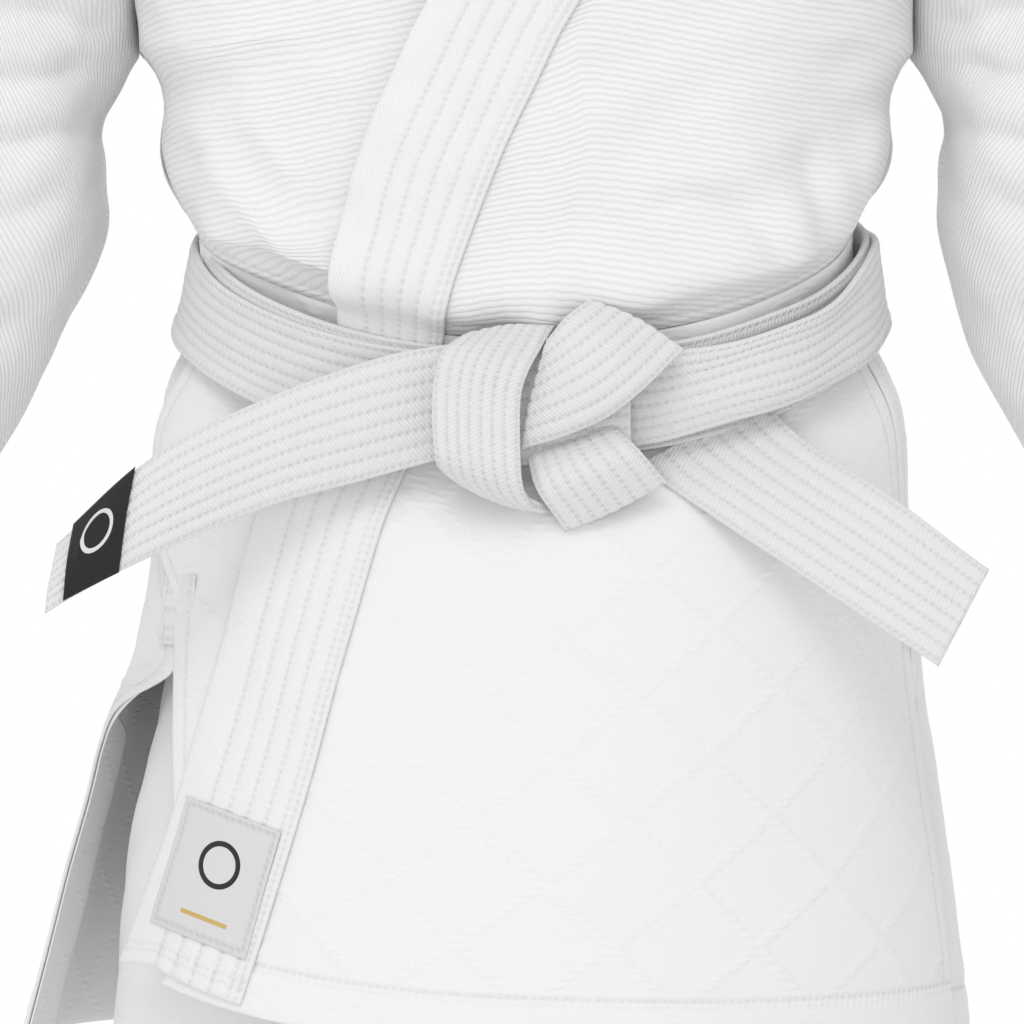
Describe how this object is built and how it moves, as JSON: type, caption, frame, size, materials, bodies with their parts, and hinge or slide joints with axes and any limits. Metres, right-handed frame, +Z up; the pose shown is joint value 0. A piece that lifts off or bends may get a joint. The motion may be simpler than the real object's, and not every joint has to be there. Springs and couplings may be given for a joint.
{
  "type": "judo uniform",
  "caption": "Judo uniform shaped as worn, with a wrapped jacket, a tied belt with two hanging ends, slit skirt flaps and straight trousers.",
  "frame": {"origin": "centre of the waist, on the wearer's middle line", "axes": "+Z up along the body, the front faces -Y, and the wearer's left is at +X"},
  "size_m": [0.8278, 0.2875, 1.3623],
  "materials": {
    "rice_weave_cotton": "matte, heavy ribbed cotton weave",
    "diamond_weave_cotton": "matte, smooth cotton with a woven diamond grid",
    "band_cotton": "matte, fine cotton twill with stitch rows",
    "belt_cotton": "matte, ribbed cotton with stitch rows",
    "trouser_cotton": "matte, plain cotton",
    "label_cloth": "matte woven label",
    "black_label": "matte woven label"
  },
  "bodies": {
    "jacket": {"left_front_panel": "rice_weave_cotton", "right_front_panel": "rice_weave_cotton", "left_back_panel": "rice_weave_cotton", "right_back_panel": "rice_weave_cotton", "left_shoulder_patch": "band_cotton", "right_shoulder_patch": "band_cotton", "left_lapel": "band_cotton", "right_lapel": "band_cotton", "neck_collar": "band_cotton", "left_front_skirt": "diamond_weave_cotton", "right_front_skirt": "diamond_weave_cotton", "back_skirt": "diamond_weave_cotton", "left_vent_patch": "band_cotton", "right_vent_patch": "band_cotton", "belt_inner_turn": "belt_cotton", "belt_outer_turn": "belt_cotton", "knot_core": "belt_cotton", "knot_wrap": "belt_cotton", "knot_upper_loop": "belt_cotton", "knot_lower_loop": "belt_cotton", "trouser_waistband": "trouser_cotton", "left_trouser_seat": "trouser_cotton", "right_trouser_seat": "trouser_cotton"},
    "front_flap": {"left_front_flap": "diamond_weave_cotton", "right_front_flap": "diamond_weave_cotton", "left_lapel_end": "band_cotton", "right_lapel_end": "band_cotton", "lapel_label": "label_cloth", "front_hem": "band_cotton"},
    "back_flap": {"back_flap": "diamond_weave_cotton", "back_hem": "band_cotton"},
    "left_sleeve": {"left_sleeve": "rice_weave_cotton", "left_cuff": "band_cotton", "left_armpit_gusset": "band_cotton"},
    "right_sleeve": {"right_sleeve": "rice_weave_cotton", "right_cuff": "band_cotton", "right_armpit_gusset": "band_cotton"},
    "left_belt_end": {"left_belt_end": "belt_cotton"},
    "right_belt_end": {"right_belt_end": "belt_cotton", "belt_label": "black_label"},
    "left_leg": {"left_trouser_leg": "trouser_cotton", "left_knee_patch": "trouser_cotton", "left_leg_hem": "trouser_cotton"},
    "right_leg": {"right_trouser_leg": "trouser_cotton", "right_knee_patch": "trouser_cotton", "right_leg_hem": "trouser_cotton"}
  },
  "joints": [
    {"name": "left_shoulder_swing", "type": "hinge", "parent": "jacket", "child": "left_sleeve", "pos_m": [0.16, 0, 0.252], "axis": [-1, 0, 0], "range_deg": [-15, 30]},
    {"name": "right_shoulder_swing", "type": "hinge", "parent": "jacket", "child": "right_sleeve", "pos_m": [-0.16, 0, 0.252], "axis": [-1, 0, 0], "range_deg": [-15, 30]},
    {"name": "left_leg_swing", "type": "hinge", "parent": "jacket", "child": "left_leg", "pos_m": [0.086, 0, -0.23], "axis": [-1, 0, 0], "range_deg": [-12, 12]},
    {"name": "right_leg_swing", "type": "hinge", "parent": "jacket", "child": "right_leg", "pos_m": [-0.086, 0, -0.23], "axis": [-1, 0, 0], "range_deg": [-12, 12]},
    {"name": "front_flap_swing", "type": "hinge", "parent": "jacket", "child": "front_flap", "pos_m": [0, -0.13, -0.125], "axis": [-1, 0, 0], "range_deg": [0, 20]},
    {"name": "back_flap_swing", "type": "hinge", "parent": "jacket", "child": "back_flap", "pos_m": [0, 0.13, -0.125], "axis": [1, 0, 0], "range_deg": [0, 18]},
    {"name": "left_belt_end_droop", "type": "hinge", "parent": "jacket", "child": "left_belt_end", "pos_m": [0.078, -0.12, -0.05], "axis": [0, 1, 0], "range_deg": [-10, 30]},
    {"name": "right_belt_end_droop", "type": "hinge", "parent": "jacket", "child": "right_belt_end", "pos_m": [-0.06, -0.12, -0.036], "axis": [0, -1, 0], "range_deg": [-10, 30]}
  ]
}
